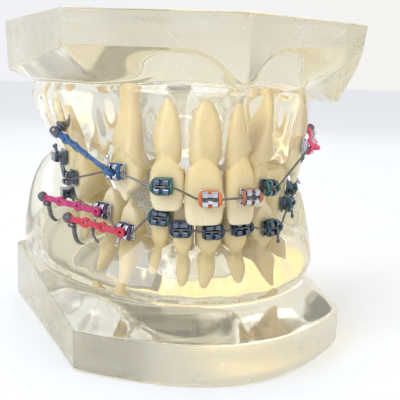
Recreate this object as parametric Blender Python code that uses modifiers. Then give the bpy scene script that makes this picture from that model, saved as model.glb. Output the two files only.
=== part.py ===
"""Orthodontic typodont: two clear resin jaws on a back hinge, with teeth, braces and mini-implants.

Lengths are in millimetres and become metres where a mesh is made. +Z is up, the front teeth face -Y,
and the origin is on the table under the middle of the model.
"""
import math

import bmesh
import bpy
from mathutils import Matrix, Vector

MM = 0.001

# Driving dimensions
HEIGHT = 67.0
BACK_Y = 31.8
FIT_GAP = 0.25
NEIGHBOUR_GAP = 0.25
PIN_Y, PIN_Z = 34.7, 38.0
WIRE_THICKNESS = 0.40
SLOT_OFFSET = 2.0
HEEL_Y = 27.5
BRACKET_REACH = 2.1
TUBE_REACH = 2.7

# Arches: centre x, centre y, half width and half length of the ellipse that the tooth faces follow
UPPER_ARCH = (1.2, 12.0, 26.3, 38.7)
LOWER_ARCH = (0.8, 8.2, 23.6, 30.7)

# Tooth kinds: width, depth, crown height, root length, edge width, edge depth and neck as shares
KINDS = {
    "central": (8.2, 6.6, 11.5, 12.0, 0.92, 0.24, 0.84),
    "lateral": (7.6, 6.0, 10.0, 11.4, 0.80, 0.26, 0.80),
    "canine": (8.2, 7.4, 10.5, 11.5, 0.34, 0.34, 0.82),
    "premolar": (7.0, 8.4, 8.5, 12.5, 0.66, 0.66, 0.84),
    "molar": (10.0, 10.4, 7.5, 11.0, 0.80, 0.74, 0.84),
    "lower_incisor": (5.8, 5.6, 9.5, 8.0, 0.88, 0.26, 0.80),
    "lower_canine": (7.2, 7.0, 10.5, 8.0, 0.36, 0.36, 0.84),
    "lower_premolar": (7.2, 7.6, 9.0, 9.5, 0.62, 0.62, 0.84),
    "lower_molar": (10.8, 10.0, 7.5, 9.5, 0.82, 0.76, 0.86),
}

MOLARS = ("molar", "lower_molar")
# How far a bracket sits from the middle of its crown, towards the patient's left
BRACKET_SHIFT = {"11": 1.1, "21": 0.3, "12": -0.2, "43": 1.2}
# How far a root leans towards the patient's right, in degrees
ROOT_LEAN = {"13": -12, "12": -5, "11": -4, "21": 8, "22": 8, "23": 6}

# Teeth in order along each arch: number, kind, arch angle, outward shift, slot height,
# slot height over the edge, turn about its own axis, sideways tilt
UPPER_TEETH = [
    ("16", "molar", -84.0, 0.0, 37.2, 3.8, 0, 0),
    ("15", "premolar", -73.5, 0.0, 33.6, 3.9, 0, 0),
    ("13", "canine", -46.6, 0.0, 37.0, 4.4, -6, 3),
    ("12", "lateral", -28.4, 0.0, 35.2, 4.9, 8, 2),
    ("11", "central", -10.5, 0.0, 33.3, 5.3, -3, 2),
    ("21", "central", 5.0, 0.0, 33.6, 5.6, 4, -1),
    ("22", "lateral", 17.4, -1.6, 34.7, 3.9, 10, -5),
    ("23", "canine", 41.0, 1.0, 42.0, 6.2, 4, -6),
    ("25", "premolar", 73.5, 0.0, 37.6, 4.2, 0, 0),
    ("26", "molar", 84.5, 0.0, 37.2, 3.8, 0, 0),
]
LOWER_TEETH = [
    ("46", "lower_molar", -94.0, 0.0, 28.8, 4.0, 0, 0),
    ("44", "lower_premolar", -57.8, 0.0, 28.2, 3.6, 4, -3),
    ("43", "lower_canine", -44.3, 0.0, 25.0, 5.0, -6, -5),
    ("42", "lower_incisor", -30.2, -1.0, 28.4, 4.0, 10, -4),
    ("41", "lower_incisor", -19.6, 0.0, 26.6, 4.6, 0, 2),
    ("31", "lower_incisor", -6.4, 0.0, 26.3, 4.6, 2, 0),
    ("32", "lower_incisor", 7.6, 0.0, 26.8, 4.4, -4, 3),
    ("33", "lower_canine", 27.0, 0.0, 25.7, 4.6, -8, 4),
    ("34", "lower_premolar", 44.0, 0.0, 29.5, 3.8, 0, 2),
    ("35", "lower_premolar", 58.5, 0.0, 32.0, 3.2, 0, 0),
    ("36", "lower_molar", 80.0, 0.0, 28.6, 4.0, 0, 0),
]

# Mini-implants: name, jaw, centre of the head, tip of the screw
MINI_IMPLANTS = [
    ("upper_right", "upper", (-28.6, -2.2, 43.6), (-22.9, -0.4, 48.3)),
    ("upper_left", "upper", (26.6, -6.9, 44.8), (22.2, -1.2, 48.8)),
    ("lower_right_back", "lower", (-30.6, 3.3, 29.2), (-25.8, 4.8, 23.0)),
    ("lower_right_front", "lower", (-26.8, -6.4, 26.4), (-22.0, -4.6, 19.6)),
]
# Elastic chains: name, jaw, implant at one end, tooth number at the other
ELASTIC_CHAINS = [
    ("blue", "upper", "upper_right", "13"),
    ("pink", "upper", "upper_left", "23"),
    ("magenta", "lower", "lower_right_back", "44"),
    ("red", "lower", "lower_right_front", "43"),
]

# Gum ridge: for a distance from the front of the arch's sides, points of the section from the cheek
# side to the tongue side, as outward offset from the tooth faces and height
UPPER_GUM = [
    (-26.0, [(4.2, 57.5), (3.4, 52.6), (2.9, 47.5), (1.4, 42.6), (-0.6, 41.2), (-6.6, 41.4),
             (-8.4, 45.0), (-9.8, 51.0), (-10.2, 57.5)]),
    (-6.0, [(4.8, 57.5), (4.2, 51.6), (3.2, 46.8), (1.6, 42.4), (-0.6, 41.0), (-9.6, 41.2),
            (-11.4, 45.0), (-12.6, 51.0), (-13.0, 57.5)]),
    (9.0, [(5.6, 57.5), (4.8, 51.4), (3.6, 46.4), (1.8, 42.0), (-0.6, 41.0), (-11.2, 41.2),
           (-12.4, 45.0), (-13.4, 51.0), (-13.6, 57.5)]),
    (19.0, [(5.6, 57.5), (4.8, 51.4), (3.9, 46.2), (2.2, 42.4), (-2.0, 41.2), (-9.0, 41.6),
            (-11.6, 45.0), (-13.0, 51.0), (-13.6, 57.5)]),
    (28.0, [(4.0, 57.5), (3.0, 53.0), (1.4, 48.8), (-1.0, 46.4), (-4.0, 45.6), (-7.0, 46.0),
            (-9.0, 48.0), (-10.6, 52.0), (-11.4, 57.5)]),
]
LOWER_GUM = [
    (-21.0, [(4.6, 7.5), (3.4, 14.6), (2.5, 17.6), (1.1, 20.4), (-0.6, 21.0), (-6.2, 20.8),
             (-8.0, 16.0), (-9.4, 7.5)]),
    (-8.0, [(6.6, 7.5), (5.0, 16.4), (4.0, 19.4), (1.9, 22.4), (-0.6, 22.8), (-8.6, 22.4),
            (-10.2, 16.0), (-11.0, 7.5)]),
    (3.0, [(8.2, 7.5), (7.2, 18.0), (6.2, 23.4), (3.6, 25.6), (-0.6, 25.2), (-10.2, 25.0),
           (-11.6, 17.0), (-12.2, 7.5)]),
    (13.5, [(9.4, 7.5), (8.8, 18.5), (7.8, 24.8), (4.6, 26.2), (-0.6, 25.8), (-10.4, 25.6),
            (-12.0, 17.0), (-12.6, 7.5)]),
    (20.5, [(9.8, 7.5), (9.6, 21.0), (7.6, 32.4), (3.4, 38.6), (-1.0, 39.6), (-7.4, 38.6),
            (-10.6, 30.0), (-12.6, 7.5)]),
    (28.0, [(9.8, 7.5), (9.4, 20.0), (7.0, 29.0), (3.4, 34.0), (-1.0, 35.6), (-6.0, 34.6),
            (-9.2, 27.0), (-11.4, 7.5)]),
]


# Local bulges of gum: arch angle, spread, and outward swell and lift of each point of the section
UPPER_BULGE = (50.0, 28.0, (-2.8, -2.6, -1.7, -0.2, 0, 0, 0, 0, 0), (0, 0, 0.6, 2.0, 1.6, 0, 0, 0, 0))
LOWER_BULGE = (88.0, 26.0, (0, 0, 0.6, 1.4, 0, 0, 0, 0), (0, 4.0, 7.4, 1.6, 0, 0, 0, 0))


def fresh_scene():
    """Clear the scene and return the collections for the parts and for the cutters."""
    for old in list(bpy.data.objects):
        bpy.data.objects.remove(old)
    parts = bpy.data.collections.new("orthodontic_typodont")
    cutters = bpy.data.collections.new("typodont_cutters")
    for collection in (parts, cutters):
        bpy.context.scene.collection.children.link(collection)
    return parts, cutters


PARTS, CUTTERS = fresh_scene()


def material(name, color, roughness, metallic=0.0, transmission=0.0):
    made = bpy.data.materials.new(name)
    made.use_nodes = True
    shader = made.node_tree.nodes["Principled BSDF"]
    shader.inputs["Base Color"].default_value = (*color, 1.0)
    shader.inputs["Roughness"].default_value = roughness
    shader.inputs["Metallic"].default_value = metallic
    shader.inputs["Transmission Weight"].default_value = transmission
    made.diffuse_color = (*color, 1.0)
    return made


RESIN = material("clear_resin", (0.93, 0.90, 0.80), 0.06, transmission=0.9)
IVORY = material("ivory_tooth", (0.80, 0.68, 0.45), 0.30)
STEEL = material("bracket_steel", (0.72, 0.72, 0.74), 0.22, metallic=1.0)
WIRE = material("archwire_steel", (0.42, 0.40, 0.38), 0.30, metallic=1.0)
TITANIUM = material("implant_titanium", (0.38, 0.37, 0.40), 0.30, metallic=1.0)
HINGE_STEEL = material("hinge_steel", (0.66, 0.66, 0.68), 0.30, metallic=1.0)
CHAIN_MATERIALS = {
    "blue": material("chain_blue", (0.01, 0.16, 0.42), 0.35),
    "pink": material("chain_pink", (0.85, 0.08, 0.28), 0.35),
    "magenta": material("chain_magenta", (0.62, 0.03, 0.22), 0.35),
    "red": material("chain_red", (0.78, 0.04, 0.12), 0.35),
}


def pivot(name, location):
    """An empty that carries one jaw."""
    empty = bpy.data.objects.new(name, None)
    empty.location = Vector(location) * MM
    PARTS.objects.link(empty)
    return empty


JAWS = {"lower": pivot("lower_jaw", (0, 0, 0)), "upper": pivot("upper_jaw", (0, PIN_Y, PIN_Z))}


def place(obj, jaw, matrix=None):
    """Parent an object to its jaw so that its world matrix is the given one."""
    obj.parent = JAWS[jaw]
    obj.matrix_basis = Matrix.Translation(-JAWS[jaw].location) @ (matrix or Matrix.Identity(4))
    return obj


def as_cutter(obj, collection=CUTTERS):
    obj.hide_render = True
    obj.display_type = "WIRE"
    for holder in obj.users_collection:
        holder.objects.unlink(obj)
    collection.objects.link(obj)
    return obj


def new_object(name, data, finish):
    obj = bpy.data.objects.new(name, data)
    if finish:
        data.materials.append(finish)
    PARTS.objects.link(obj)
    return obj


def loft(name, rings, finish=None, domed=False):
    """A closed skin through rings of equal count; domed ends get a vertex in the middle."""
    shell = bmesh.new()
    loops = [[shell.verts.new(Vector(point) * MM) for point in ring] for ring in rings]
    count = len(loops[0])
    for lower, upper in zip(loops, loops[1:]):
        for i in range(count):
            j = (i + 1) % count
            shell.faces.new((lower[i], lower[j], upper[j], upper[i]))
    for loop in (loops[0], loops[-1]):
        cap = shell.faces.new(loop)
        if domed:
            bmesh.ops.poke(shell, faces=[cap])
    bmesh.ops.recalc_face_normals(shell, faces=shell.faces)
    mesh = bpy.data.meshes.new(name)
    shell.to_mesh(mesh)
    shell.free()
    return new_object(name, mesh, finish)


def flat_outline(name, outlines, half_thickness, finish=None):
    """A prism on one or more closed outlines, extruded both ways along local Z, as a mesh."""
    curve = bpy.data.curves.new(name, "CURVE")
    curve.dimensions = "2D"
    curve.fill_mode = "BOTH"
    curve.extrude = half_thickness * MM
    for outline in outlines:
        spline = curve.splines.new("POLY")
        spline.points.add(len(outline) - 1)
        for point, (x, y) in zip(spline.points, outline):
            point.co = (x * MM, y * MM, 0, 1)
        spline.use_cyclic_u = True
    return meshed(new_object(name, curve, finish))


def meshed(source):
    """The same object as a welded mesh, so that it can be cut."""
    bpy.context.view_layer.update()
    evaluated = source.evaluated_get(bpy.context.evaluated_depsgraph_get())
    mesh = bpy.data.meshes.new_from_object(evaluated)
    shell = bmesh.new()
    shell.from_mesh(mesh)
    bmesh.ops.remove_doubles(shell, verts=shell.verts, dist=1e-6)
    bmesh.ops.recalc_face_normals(shell, faces=shell.faces)
    shell.to_mesh(mesh)
    shell.free()
    name = source.name
    world = source.matrix_world.copy()
    bpy.data.objects.remove(source)
    obj = bpy.data.objects.new(name, mesh)
    obj.matrix_world = world
    PARTS.objects.link(obj)
    return obj


def cut(obj, operation, other=None, collection=None):
    modifier = obj.modifiers.new("cut", "BOOLEAN")
    modifier.operation = operation
    modifier.solver = "EXACT"
    if collection:
        modifier.operand_type = "COLLECTION"
        modifier.collection = collection
    else:
        modifier.object = other


def lerp(a, b, share):
    return a + (b - a) * min(1.0, max(0.0, share))


# Arches and tooth places

def arch_point(arch, angle, out=0.0):
    """Point and outward direction on an arch: an ellipse that runs straight on behind its centre."""
    centre_x, centre_y, half_width, half_length = arch
    turn = math.radians(angle)
    clipped = math.copysign(min(abs(turn), math.pi / 2), turn)
    behind = (abs(turn) - abs(clipped)) * half_length
    x = centre_x + half_width * math.sin(clipped)
    y = centre_y - half_length * math.cos(clipped) + behind
    normal = Vector((math.sin(clipped) / half_width, -math.cos(clipped) / half_length, 0)).normalized()
    return Vector((x, y, 0)) + normal * out, normal


def tooth_frame(arch, tooth):
    """Matrix whose origin is on the tooth's face at slot height: X along the arch, Y outward."""
    _, _, angle, out, slot_z, _, turn, tilt = tooth
    point, normal = arch_point(arch, angle, out)
    heading = math.atan2(normal.x, -normal.y) + math.pi
    place_at = Matrix.Translation(Vector((point.x, point.y, slot_z)) * MM)
    spin = Matrix.Rotation(heading + math.radians(turn), 4, "Z")
    return place_at @ spin @ Matrix.Rotation(math.radians(tilt), 4, "Y")


def crown_middle(arch, tooth):
    """The point of the arch that the middle of a crown faces, as against its bracket's."""
    point, normal = arch_point(arch, tooth[2], tooth[3])
    return point + normal.cross(Vector((0, 0, 1))) * BRACKET_SHIFT.get(tooth[0], 0.0)


def arch_radius(arch, angle):
    """Radius of the arch's curve at an angle."""
    before, first = arch_point(arch, angle - 1.5)
    after, second = arch_point(arch, angle + 1.5)
    return max(10.0, (after - before).length / max(first.angle(second), 1e-3))


def tooth_widths(arch, teeth):
    """Crown widths at the face that leave a gap to each neighbour."""
    centres = [crown_middle(arch, t) for t in teeth]
    nominal = [KINDS[t[1]][0] for t in teeth]
    widths = list(nominal)
    for i in range(len(teeth) - 1):
        reach = (centres[i + 1] - centres[i]).length - NEIGHBOUR_GAP
        share = reach / (nominal[i] + nominal[i + 1])
        for j in (i, i + 1):
            widths[j] = min(widths[j], 2 * share * nominal[j])
    return widths


def tooth_rings(arch, tooth, width, up, grow=0.0, sides=10):
    """Sections of a tooth from its edge to its root tip, in its own frame."""
    number, kind, angle, _, _, over_edge, _, _ = tooth
    _, depth, crown, root, edge_width, edge_depth, neck = KINDS[kind]
    shift = BRACKET_SHIFT.get(number, 0.0)
    lean = math.tan(math.radians(ROOT_LEAN.get(number, 0)))
    radius = arch_radius(arch, angle)
    half_width, half_depth = width / 2, depth / 2
    stations = [
        (0.0, edge_width * 0.90, edge_depth * 0.80, -0.35),
        (0.06, edge_width, edge_depth, -0.20),
        (0.35, lerp(edge_width, 1.0, 0.85), lerp(edge_depth, 1.0, 0.45), 0.0),
        (0.68, 0.97, lerp(edge_depth, 1.0, 0.85), 0.0),
        (1.0, neck, 0.90 * neck + 0.08, -0.45),
        (1.45, neck * 0.80, neck * 0.80, -0.90),
        (1.80, neck * 0.52, neck * 0.54, -1.30),
        (2.0, neck * 0.20, neck * 0.20, -2.0),
    ]
    rings = []
    for i, (along, wide, deep, face) in enumerate(stations):
        height = crown * along if along <= 1 else crown + root * (along - 1)
        height += grow * ((i == len(stations) - 1) - (i == 0))
        a = half_width * wide + grow
        b = half_depth * deep + grow
        middle = face - half_depth * deep
        ring = []
        for k in range(sides):
            turn = 2 * math.pi * (k + 0.5) / sides
            across, out = math.cos(turn), math.sin(turn)
            y = math.copysign(abs(out) ** 0.8, out) * b + middle
            x = math.copysign(abs(across) ** (0.65 if out > 0 else 0.8), across) * a
            x = x * (1 + y / radius) + shift + lean * max(0.0, height - 0.8 * crown)
            ring.append((x, y, up * (height - over_edge)))
        rings.append(ring)
    return rings


# Braces

# Stands a drawn outline up: its first axis becomes Y, its second becomes Z, and it extrudes along X
UPRIGHT = Matrix(((0, 0, 1, 0), (1, 0, 0, 0), (0, 1, 0, 0), (0, 0, 0, 1)))
BRACKET_HALF = [(0.0, 1.6), (0.5, 1.6), (0.8, 0.95), (1.15, 0.95), (1.25, 1.45), (1.7, 1.5),
                (2.3, 1.15), (2.3, 0.5), (1.2, 0.5)]
BRACKET_PROFILE = BRACKET_HALF + [(d, -h) for d, h in reversed(BRACKET_HALF)]
TUBE_PROFILE = [(0.0, 1.7), (0.5, 1.7), (0.8, 1.15), (2.6, 1.15), (2.6, -1.15), (0.8, -1.15), (0.5, -1.7),
                (0.0, -1.7)]
TUBE_BORE = [(1.1, -0.6), (2.2, -0.6), (2.2, 0.6), (1.1, 0.6)]
PAD_OFFSET = 0.28


def bracket(jaw, tooth, frame):
    """Edgewise bracket with an open slot, or a buccal tube on a molar."""
    if tooth[1] in MOLARS:
        name, outlines, half_length = "tube_" + tooth[0], [TUBE_PROFILE, TUBE_BORE], 2.1
    else:
        name, outlines, half_length = "bracket_" + tooth[0], [BRACKET_PROFILE], 1.6
    made = flat_outline(name, outlines, half_length)
    made.data.materials.append(STEEL)
    return place(made, jaw, frame @ Matrix.Translation((0, PAD_OFFSET * MM, 0)) @ UPRIGHT)


def rod(name, jaw, points, radius, finish):
    """A round rod through points, closed at both ends."""
    curve = bpy.data.curves.new(name, "CURVE")
    curve.dimensions = "3D"
    curve.bevel_depth = radius * MM
    curve.bevel_resolution = 1
    curve.use_fill_caps = True
    spline = curve.splines.new("POLY")
    spline.points.add(len(points) - 1)
    for point, co in zip(spline.points, points):
        point.co = (*(co * MM), 1)
    return place(new_object(name, curve, finish), jaw)


def archwire(jaw, frames, reaches):
    """Wire that runs straight through each slot and bends between the teeth."""
    points = []
    for frame, reach in zip(frames, reaches):
        for along in (reach, -reach):
            points.append(frame @ (Vector((along, SLOT_OFFSET, 0)) * MM) / MM)
    return rod(jaw + "_archwire", jaw, points, WIRE_THICKNESS / 2, WIRE)


# Mini-implants and elastic chains

BAND_HEAD_CLEARANCE = 2.2
BAND_POST_CLEARANCE = 1.9
BAND_THICKNESS = 1.0
IMPLANT_PROFILE = [(0.0, -1.0), (1.0, -0.9), (1.35, -0.3), (1.35, 0.3), (0.8, 0.55), (0.8, 1.1), (1.3, 1.35),
                   (1.3, 1.75), (0.75, 2.1), (0.6, 5.0)]


def implant_profile(length, grow=0.0):
    """Head, neck groove, collar and tapering shank, as radius and distance along the axis."""
    profile = [(radius + grow * (radius > 0), along) for radius, along in IMPLANT_PROFILE]
    return profile + [(0.45 + grow, length - 0.8), (0.0, length + grow)]


def turned(name, profile, finish, start, end):
    """A turned solid whose profile runs along the line from start to end."""
    mesh = bpy.data.meshes.new(name)
    points = [(radius * MM, 0, along * MM) for radius, along in reversed(profile)]
    mesh.from_pydata(points, [(i, i + 1) for i in range(len(points) - 1)], [])
    obj = new_object(name, mesh, finish)
    screw = obj.modifiers.new("turn", "SCREW")
    screw.steps = screw.render_steps = 10
    screw.use_merge_vertices = True
    screw.merge_threshold = 0.00001
    screw.use_smooth_shade = True
    aim = (Vector(end) - Vector(start)).to_track_quat("Z", "Y").to_matrix().to_4x4()
    return obj, Matrix.Translation(Vector(start) * MM) @ aim


def band(name, jaw, start, end, finish):
    """A stretched strand between two points, held clear of what it hooks over."""
    direction = (end - start).normalized()
    first = start + direction * BAND_HEAD_CLEARANCE
    last = end - direction * BAND_POST_CLEARANCE
    points = [first.lerp(last, i / 3) for i in range(4)]
    return rod(name, jaw, points, BAND_THICKNESS / 2, finish)


# Resin bases

def mirrored(half):
    """Full outline from the front middle round by +X to the back and home by -X."""
    return half + [(-x, y) for x, y in reversed(half) if x > 0]


def lower_outline():
    corner_x, corner_y, front_y = 28.3, -21.4, -36.3
    shares = (0, 0.2, 0.4, 0.6, 0.8, 1.0)
    front = [(corner_x * s, lerp(front_y, corner_y, s ** 1.9)) for s in shares]
    side = [(lerp(corner_x, 33.7, s), lerp(corner_y, 30.2, s)) for s in (0.2, 0.4, 0.6, 0.8, 1.0)]
    return mirrored(front + side + [(32.1, BACK_Y), (22.0, BACK_Y), (11.0, BACK_Y), (0.0, BACK_Y)])


def upper_outline():
    corner_x, corner_y, front_y = 30.8, -21.4, -34.0
    front = [(corner_x * s, lerp(front_y, corner_y, s)) for s in (0, 0.1, 0.2, 0.35, 0.6, 1.0)]
    side = [(lerp(corner_x, 36.2, s), lerp(corner_y, 24.9, s)) for s in (0.12, 0.25, 0.5, 0.75, 1.0)]
    return mirrored(front + side + [(29.3, BACK_Y), (20.0, BACK_Y), (10.0, BACK_Y), (0.0, BACK_Y)])


def inset(outline, amount):
    """The outline moved inward by a distance that may depend on where the point is."""
    ring = []
    count = len(outline)
    for i, (x, y) in enumerate(outline):
        before, after = outline[i - 1], outline[(i + 1) % count]
        along = Vector((after[0] - before[0], after[1] - before[1], 0)).normalized()
        inward = Vector((-along.y, along.x, 0)) * amount(x, y)
        ring.append((x + inward.x, y + inward.y))
    return ring


def lower_wall_top(x, y):
    if y > 25 and abs(x) < 26:
        return 11.0
    return lerp(8.4, 13.5, (y + 21.4) / 50)


def upper_wall_bottom(x, y):
    if y > 27 and abs(x) < 24:
        return 55.0
    if y < -21.3:
        lowest_at_tip = 6.0 * math.exp(-(abs(x) / 4.8) ** 1.6)
        return (60.0 if x < 0 else 61.0) - lowest_at_tip
    if x > 0:
        return lerp(59.4, 50.4, (y + 21.4) / 11)
    return lerp(59.6, 55.3, (y + 21.4) / 46)


def upper_sulcus_z(x, y):
    if y > 27:
        return 54.4
    if y < -21:
        return 54.0
    return 51.0 if x > 0 else 52.0


def front_ledge(front, side):
    """Inset amounts: wide at the front, narrow on the sides, none across the back."""
    def amount(x, y):
        if y > 30.5:
            return 0.6
        return lerp(front, side, (y + 27) / 18)
    return amount


def lower_block():
    outline = lower_outline()
    foot = [(x, y, 0.0) for x, y in outline]
    wall_top = [(x, y, lower_wall_top(x, y)) for x, y in outline]
    shelf = inset(outline, front_ledge(6.6, 2.0))
    rim = [(x, y, lower_wall_top(x, y) + (4.8 if y < 27 else 0.4)) for x, y in shelf]
    floor = [(x * 0.55, lerp(y, 6.0, 0.42) if y < 20 else y - 2.0, 10.6) for x, y in outline]
    return loft("lower_base", [foot, wall_top, rim, floor], RESIN, domed=True)


def upper_block():
    outline = upper_outline()
    roof = [(x, y, HEIGHT) for x, y in outline]
    leaning = inset(outline, lambda x, y: 0.0 if y > 25 else 0.7)
    wall_bottom = [(x, y, upper_wall_bottom(x, y)) for x, y in leaning]
    sulcus = [(x, y, upper_sulcus_z(x, y)) for x, y in inset(outline, front_ledge(6.0, 3.4))]
    vault = [(x * 0.5, lerp(y, 6.0, 0.42) if y < 20 else y - 2.0, 56.0) for x, y in outline]
    return loft("upper_base", [roof, wall_bottom, sulcus, vault], RESIN, domed=True)


def gum_section(keys, y):
    """The ridge section at a distance along the sides, blended between the key sections."""
    for (y0, first), (y1, second) in zip(keys, keys[1:]):
        if y <= y1:
            share = (y - y0) / (y1 - y0)
            return [(lerp(a[0], b[0], share), lerp(a[1], b[1], share)) for a, b in zip(first, second)]
    return keys[-1][1]


def gum_ridge(name, arch, keys, bulge):
    """The horseshoe of gum, lofted round the arch from one heel to the other."""
    heel = 90 + math.degrees((HEEL_Y - arch[1]) / arch[3])
    inner = [angle for angle in range(-120, 121, 10) if abs(angle) < heel - 4]
    middle, spread, swell, lift = bulge
    rings = []
    for angle in [-heel] + inner + [heel]:
        base, normal = arch_point(arch, angle)
        share = math.exp(-((angle - middle) / spread) ** 2)
        ring = []
        for i, (out, z) in enumerate(gum_section(keys, base.y)):
            point = base + normal * (out + swell[i] * share)
            ring.append((point.x, point.y, z + lift[i] * share))
        rings.append(ring)
    return as_cutter(loft(name, rings))


def jaw(side, arch, teeth, base, keys, bulge):
    """Base, teeth, brackets and archwire of one jaw. Returns tooth frames and the socket cutters."""
    up = 1 if side == "upper" else -1
    sockets = bpy.data.collections.new(side + "_sockets")
    CUTTERS.children.link(sockets)
    sockets.hide_render = True
    frames = {}
    reaches = []
    for tooth, width in zip(teeth, tooth_widths(arch, teeth)):
        number, kind = tooth[0], tooth[1]
        frames[number] = frame = tooth_frame(arch, tooth)
        place(loft("tooth_" + number, tooth_rings(arch, tooth, width, up), IVORY), side, frame)
        socket = loft("socket_" + number, tooth_rings(arch, tooth, width, up, FIT_GAP))
        place(as_cutter(socket, sockets), side, frame)
        bracket(side, tooth, frame)
        reaches.append(TUBE_REACH if kind in MOLARS else BRACKET_REACH)
    archwire(side, frames.values(), reaches)
    ridge = place(gum_ridge(side + "_gum_ridge", arch, keys, bulge), side)
    place(base, side)
    cut(base, "UNION", other=ridge)
    cut(base, "DIFFERENCE", collection=sockets)
    return frames, sockets


def implants(sockets):
    heads = {}
    for name, side, head, tip in MINI_IMPLANTS:
        length = (Vector(tip) - Vector(head)).length
        pin, aimed = turned("mini_implant_" + name, implant_profile(length), TITANIUM, head, tip)
        place(pin, side, aimed)
        hole, aimed = turned("hole_" + name, implant_profile(length, FIT_GAP), None, head, tip)
        place(as_cutter(hole, sockets[side]), side, aimed)
        heads[name] = Vector(head)
    return heads


def chains(heads, frames):
    for color, side, implant, number in ELASTIC_CHAINS:
        target = frames[side][number] @ (Vector((0, SLOT_OFFSET + 0.6, 0)) * MM) / MM
        band("elastic_chain_" + color, side, heads[implant], target, CHAIN_MATERIALS[color])


# Back hinge

LEAF_Y = BACK_Y + 0.3
LEAF_THICKNESS = 1.2
LEAF_HALF_WIDTH = 8.0
KNUCKLE_RADIUS = 1.6
PIN_RADIUS = 0.7
BORE_RADIUS = 1.0
CENTRE_KNUCKLE_HALF = 2.7
KNUCKLE_GAP = 0.3


def circle(radius, count, start=0.0, sweep=2 * math.pi):
    """Points round the pin, from an angle through a sweep, as (y, z)."""
    steps = count if sweep == 2 * math.pi else count - 1
    angles = [start + sweep * i / steps for i in range(count)]
    return [(PIN_Y + radius * math.cos(a), PIN_Z + radius * math.sin(a)) for a in angles]


def leaf(side, far_z, notches):
    """Strap on the back of one base, rolled into knuckles round the pin except at the notches."""
    toward = 1 if side == "upper" else -1
    face_y = LEAF_Y + LEAF_THICKNESS
    rise = math.sqrt(KNUCKLE_RADIUS ** 2 - (PIN_Y - face_y) ** 2)
    start = math.atan2(toward * rise, face_y - PIN_Y)
    roll = circle(KNUCKLE_RADIUS, 15, start, -2 * start)
    outline = [(LEAF_Y, far_z), (face_y, far_z)] + roll + [(LEAF_Y, PIN_Z - toward * rise)]
    name = "hinge_leaf_" + side
    made = flat_outline(name, [outline, circle(BORE_RADIUS, 12)], LEAF_HALF_WIDTH)
    made.data.materials.append(HINGE_STEEL)
    place(made, side, UPRIGHT)
    low, high = sorted((PIN_Z + toward * (KNUCKLE_RADIUS + 0.5), PIN_Z - toward * 3))
    for number, (x0, x1) in enumerate(notches):
        low_corner, high_corner = (x0, LEAF_Y - 1, low), (x1, PIN_Y + 3, high)
        notch = box_cutter("%s_notch_%d" % (name, number), low_corner, high_corner)
        cut(made, "DIFFERENCE", other=notch)


def box_cutter(name, low, high):
    shell = bmesh.new()
    bmesh.ops.create_cube(shell, size=1.0)
    size = Vector(high) - Vector(low)
    middle = (Vector(high) + Vector(low)) / 2
    bmesh.ops.scale(shell, vec=size * MM, verts=shell.verts)
    bmesh.ops.translate(shell, vec=middle * MM, verts=shell.verts)
    mesh = bpy.data.meshes.new(name)
    shell.to_mesh(mesh)
    shell.free()
    return as_cutter(new_object(name, mesh, None))


def hinge():
    inner = CENTRE_KNUCKLE_HALF
    leaf("lower", 3.0, [(-inner - KNUCKLE_GAP, inner + KNUCKLE_GAP)])
    leaf("upper", 64.0, [(-LEAF_HALF_WIDTH - 1, -inner), (inner, LEAF_HALF_WIDTH + 1)])
    shank = [(0.0, 9.4), (1.2, 9.4), (1.2, 8.6), (PIN_RADIUS, 8.6)]
    profile = [(radius, -along) for radius, along in shank] + shank[::-1]
    pin, aimed = turned("hinge_pin", profile, HINGE_STEEL, (0, PIN_Y, PIN_Z), (1, PIN_Y, PIN_Z))
    place(pin, "lower", aimed)


def main():
    lower = ("lower", LOWER_ARCH, LOWER_TEETH, lower_block(), LOWER_GUM, LOWER_BULGE)
    upper = ("upper", UPPER_ARCH, UPPER_TEETH, upper_block(), UPPER_GUM, UPPER_BULGE)
    lower_frames, lower_sockets = jaw(*lower)
    upper_frames, upper_sockets = jaw(*upper)
    heads = implants({"lower": lower_sockets, "upper": upper_sockets})
    chains(heads, {"lower": lower_frames, "upper": upper_frames})
    hinge()


main()
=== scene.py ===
"""Looks of the orthodontic typodont: polished resin jaws, ivory teeth, braces and mini-implants.

Lengths are in millimetres until a mesh is made. A tooth's own frame has X along the arch, Y outward
and Z towards its root, with the origin on its face at the height of the bracket slot.
"""
import math

import bmesh
import bpy
import numpy as np
from mathutils import Matrix, Vector


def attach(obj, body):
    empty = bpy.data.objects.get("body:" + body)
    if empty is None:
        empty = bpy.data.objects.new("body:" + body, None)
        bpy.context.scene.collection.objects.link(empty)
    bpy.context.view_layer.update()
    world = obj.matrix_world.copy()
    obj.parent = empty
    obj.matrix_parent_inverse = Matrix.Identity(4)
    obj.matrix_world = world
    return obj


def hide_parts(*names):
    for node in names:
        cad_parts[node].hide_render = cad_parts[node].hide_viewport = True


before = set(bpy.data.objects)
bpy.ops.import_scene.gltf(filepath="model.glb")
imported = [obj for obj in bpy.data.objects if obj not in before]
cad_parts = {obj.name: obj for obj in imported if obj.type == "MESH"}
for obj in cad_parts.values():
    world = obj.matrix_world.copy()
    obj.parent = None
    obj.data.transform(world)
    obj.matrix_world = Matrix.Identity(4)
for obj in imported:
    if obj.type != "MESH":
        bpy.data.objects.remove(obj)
scene = bpy.context.scene
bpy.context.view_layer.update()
MM = 0.001

# Camera
CAMERA_AT = (-49.3, -148.3, 56.1)
CAMERA_AZIMUTH, CAMERA_PITCH, CAMERA_ROLL = -19.7, 10.1, 1.8
CAMERA_LENS = 63.9

# Sizes shared with the CAD model
ROOF_Z = 67.0
BACK_Y = 31.8
PIN_Y, PIN_Z = 34.7, 38.0
SLOT_OFFSET = 2.0
PAD_OFFSET = 0.28
NEIGHBOUR_GAP = 0.25
HEEL_Y = 27.5
UPPER_ARCH = (1.2, 12.0, 26.3, 38.7)
LOWER_ARCH = (0.8, 8.2, 23.6, 30.7)

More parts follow.
